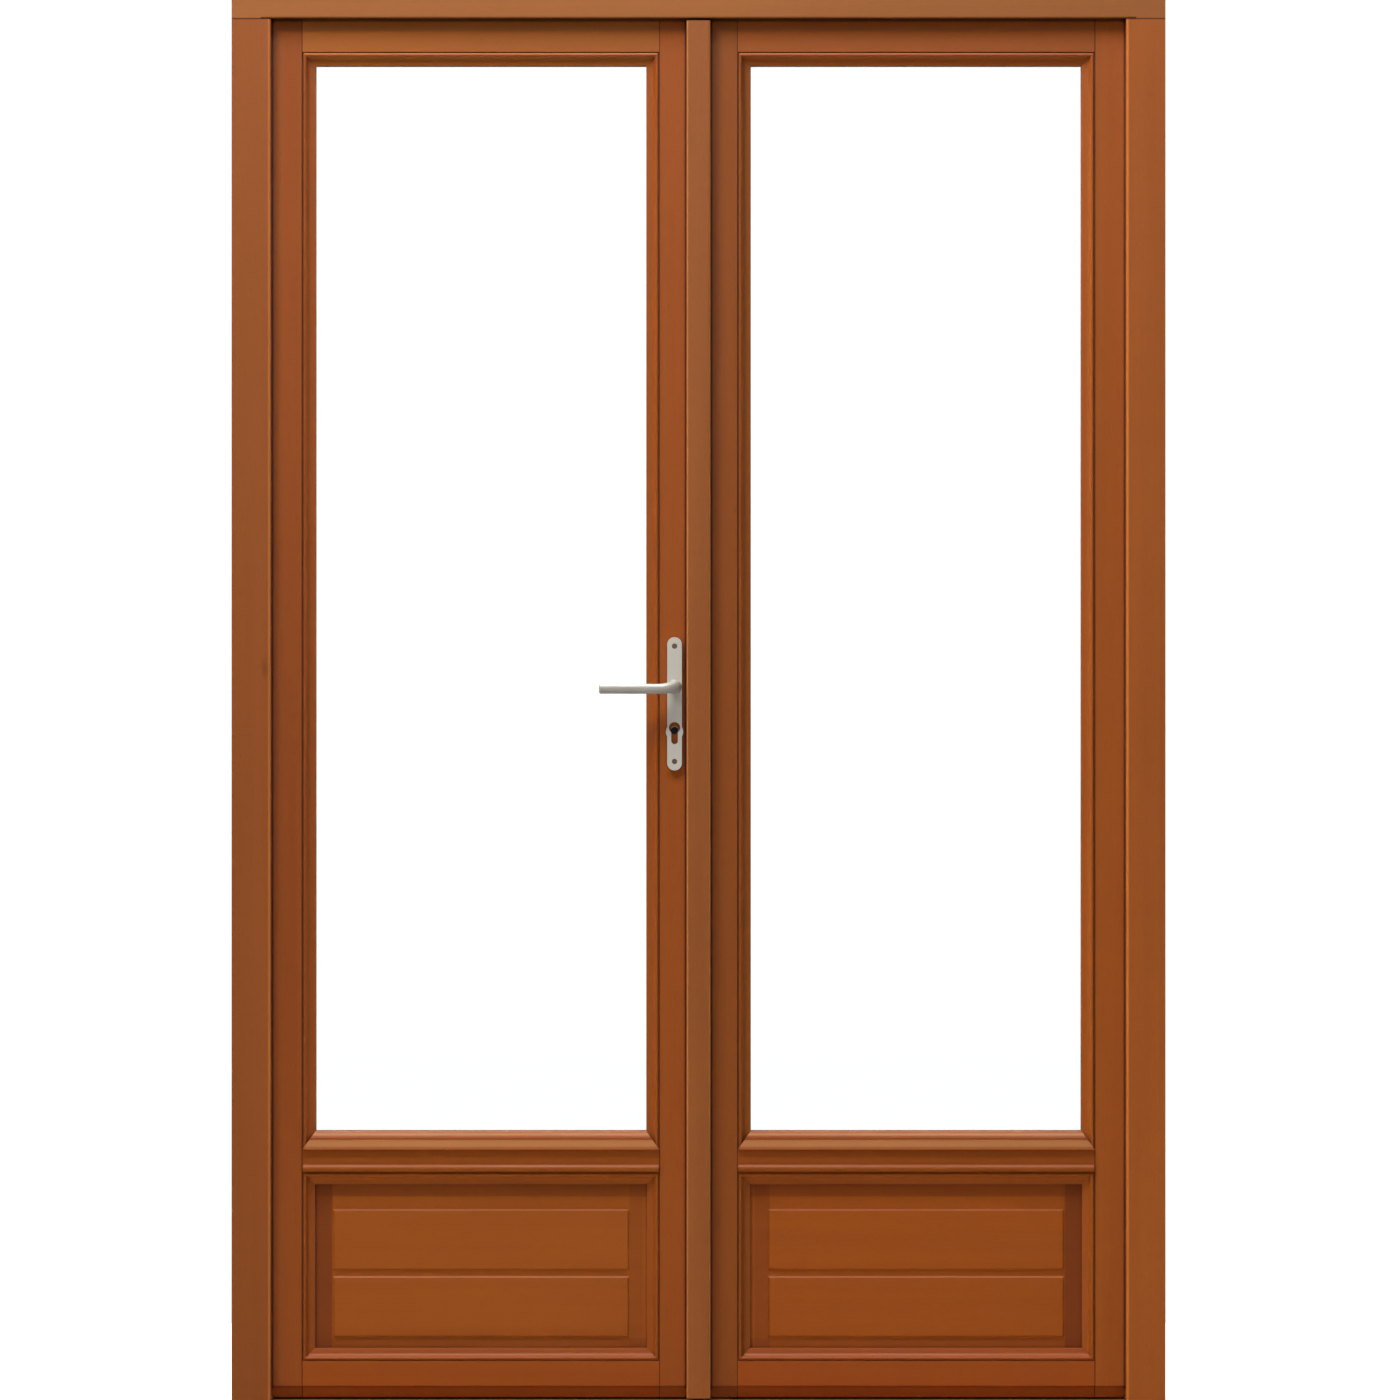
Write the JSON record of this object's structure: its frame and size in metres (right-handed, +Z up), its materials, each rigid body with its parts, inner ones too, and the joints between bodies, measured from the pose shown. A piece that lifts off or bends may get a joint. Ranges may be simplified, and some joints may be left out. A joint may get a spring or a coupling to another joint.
{
  "type": "french doors",
  "caption": "Pair of glazed timber french doors with raised lower panels in their own frame, opening inwards, with lever handles, mortice lock, flush bolts and a flat threshold.",
  "frame": {"origin": "centre of the threshold's underside, at mid depth of the frame", "axes": "+X to the right seen from outside, +Y into the room, +Z up; outside faces -Y"},
  "size_m": [1.4, 0.137, 2.15],
  "materials": {
    "frame_wood": "satin stain",
    "stile_wood": "satin stain",
    "rail_wood": "satin stain",
    "panel_wood": "satin stain",
    "astragal_wood": "satin stain",
    "glass": "clear",
    "spacer_metal": "satin",
    "packer_plastic": "matte",
    "hinge_metal": "satin",
    "threshold_metal": "bronze anodised",
    "seal_rubber": "matte",
    "handle_metal": "satin anodised",
    "screw_metal": "satin",
    "steel": "satin"
  },
  "bodies": {
    "frame": {"frame_head": "frame_wood", "frame_jamb_left": "frame_wood", "frame_jamb_right": "frame_wood", "threshold": "threshold_metal", "frame_seals": "seal_rubber", "frame_hinge_halves_left": "hinge_metal", "frame_hinge_halves_right": "hinge_metal", "hinge_pins_left": "steel", "hinge_pins_right": "steel", "head_keep": "steel", "threshold_keep": "steel", "keep_screws": "steel"},
    "left_leaf": {"left_hinge_stile": "stile_wood", "left_meeting_stile": "stile_wood", "left_top_rail": "rail_wood", "left_middle_rail": "rail_wood", "left_bottom_rail": "rail_wood", "left_panel": "panel_wood", "left_pane_outer": "glass", "left_pane_inner": "glass", "left_glass_spacer": "spacer_metal", "left_glass_packers": "packer_plastic", "left_glazing_beads": "rail_wood", "left_hinge_halves": "hinge_metal", "inner_astragal": "astragal_wood", "inner_astragal_seal": "seal_rubber", "handle_plate_outer": "handle_metal", "handle_plate_inner": "handle_metal", "handle_screws": "screw_metal", "lock_case": "steel", "lock_faceplate": "steel", "lock_screws": "steel"},
    "right_leaf": {"right_hinge_stile": "stile_wood", "right_meeting_stile": "stile_wood", "right_top_rail": "rail_wood", "right_middle_rail": "rail_wood", "right_bottom_rail": "rail_wood", "right_panel": "panel_wood", "right_pane_outer": "glass", "right_pane_inner": "glass", "right_glass_spacer": "spacer_metal", "right_glass_packers": "packer_plastic", "right_glazing_beads": "rail_wood", "right_hinge_halves": "hinge_metal", "outer_astragal": "astragal_wood", "outer_astragal_seal": "seal_rubber", "strike_plate": "steel", "flush_plate_top": "steel", "flush_plate_bottom": "steel", "edge_screws": "steel"},
    "handle": {"lever_outer": "handle_metal", "lever_inner": "handle_metal", "spindle": "steel", "lock_follower": "steel"},
    "latch": {"latch_bolt": "steel"},
    "dead_bolt": {"dead_bolt": "steel"},
    "flush_bolt_top": {"flush_bolt_top": "steel"},
    "flush_bolt_bottom": {"flush_bolt_bottom": "steel"}
  },
  "joints": [
    {"name": "left_swing", "type": "hinge", "parent": "frame", "child": "left_leaf", "pos_m": [-0.6545, 0.044, 1], "axis": [0, 0, 1], "range_deg": [0, 95]},
    {"name": "right_swing", "type": "hinge", "parent": "frame", "child": "right_leaf", "pos_m": [0.6545, 0.044, 1], "axis": [0, 0, -1], "range_deg": [0, 95]},
    {"name": "handle_turn", "type": "hinge", "parent": "left_leaf", "child": "handle", "pos_m": [-0.036, 0, 1.0895], "axis": [0, -1, 0], "range_deg": [0, 40], "stiffness_Nm_per_rad": 1.5, "springref_deg": -17.19},
    {"name": "latch_slide", "type": "slide", "parent": "left_leaf", "child": "latch", "axis": [-1, 0, 0], "range_m": [0, 0.012]},
    {"name": "dead_bolt_slide", "type": "slide", "parent": "left_leaf", "child": "dead_bolt", "axis": [1, 0, 0], "range_m": [0, 0.014]},
    {"name": "flush_bolt_top_slide", "type": "slide", "parent": "right_leaf", "child": "flush_bolt_top", "axis": [0, 0, 1], "range_m": [0, 0.015]},
    {"name": "flush_bolt_bottom_slide", "type": "slide", "parent": "right_leaf", "child": "flush_bolt_bottom", "axis": [0, 0, -1], "range_m": [0, 0.015]}
  ],
  "couplings": [
    {"joint": "latch_slide", "follows": "handle_turn", "m_per_rad": 0.017179}
  ]
}
